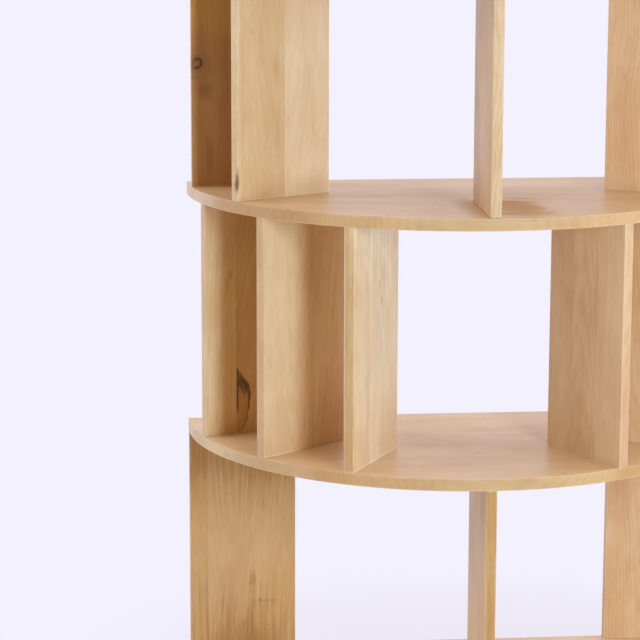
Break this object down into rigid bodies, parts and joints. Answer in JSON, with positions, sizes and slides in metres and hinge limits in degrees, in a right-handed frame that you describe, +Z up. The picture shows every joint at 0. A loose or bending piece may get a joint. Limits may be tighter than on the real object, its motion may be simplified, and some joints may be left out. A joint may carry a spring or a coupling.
{
  "type": "half-round open shelf unit",
  "caption": "Tall open shelf unit with half-round shelves, a flat back for the wall and fanned upright boards flush with the curved front.",
  "frame": {"origin": "on the floor, under the middle of the bounding box", "axes": "+Z up, +Y towards the wall behind the flat back edge, -Y towards the curved front, +X to the right seen from in front"},
  "size_m": [1, 0.5, 1.8253],
  "materials": {
    "shelf_wood": "satin clear lacquer",
    "upright_wood": "satin clear lacquer",
    "pad_felt": "pressed felt"
  },
  "bodies": {
    "root": {"shelf_1": "shelf_wood", "shelf_2": "shelf_wood", "shelf_3": "shelf_wood", "shelf_4": "shelf_wood", "shelf_5": "shelf_wood", "upright_1_1": "upright_wood", "upright_1_2": "upright_wood", "upright_1_3": "upright_wood", "upright_2_1": "upright_wood", "upright_2_2": "upright_wood", "upright_2_3": "upright_wood", "upright_2_4": "upright_wood", "upright_2_5": "upright_wood", "upright_2_6": "upright_wood", "upright_3_1": "upright_wood", "upright_3_2": "upright_wood", "upright_3_3": "upright_wood", "upright_3_4": "upright_wood", "upright_3_5": "upright_wood", "upright_4_1": "upright_wood", "upright_4_2": "upright_wood", "upright_4_3": "upright_wood", "upright_4_4": "upright_wood", "upright_4_5": "upright_wood", "upright_4_6": "upright_wood", "floor_pad_1": "pad_felt", "floor_pad_2": "pad_felt", "floor_pad_3": "pad_felt", "floor_pad_4": "pad_felt", "floor_pad_5": "pad_felt"}
  },
  "joints": []
}
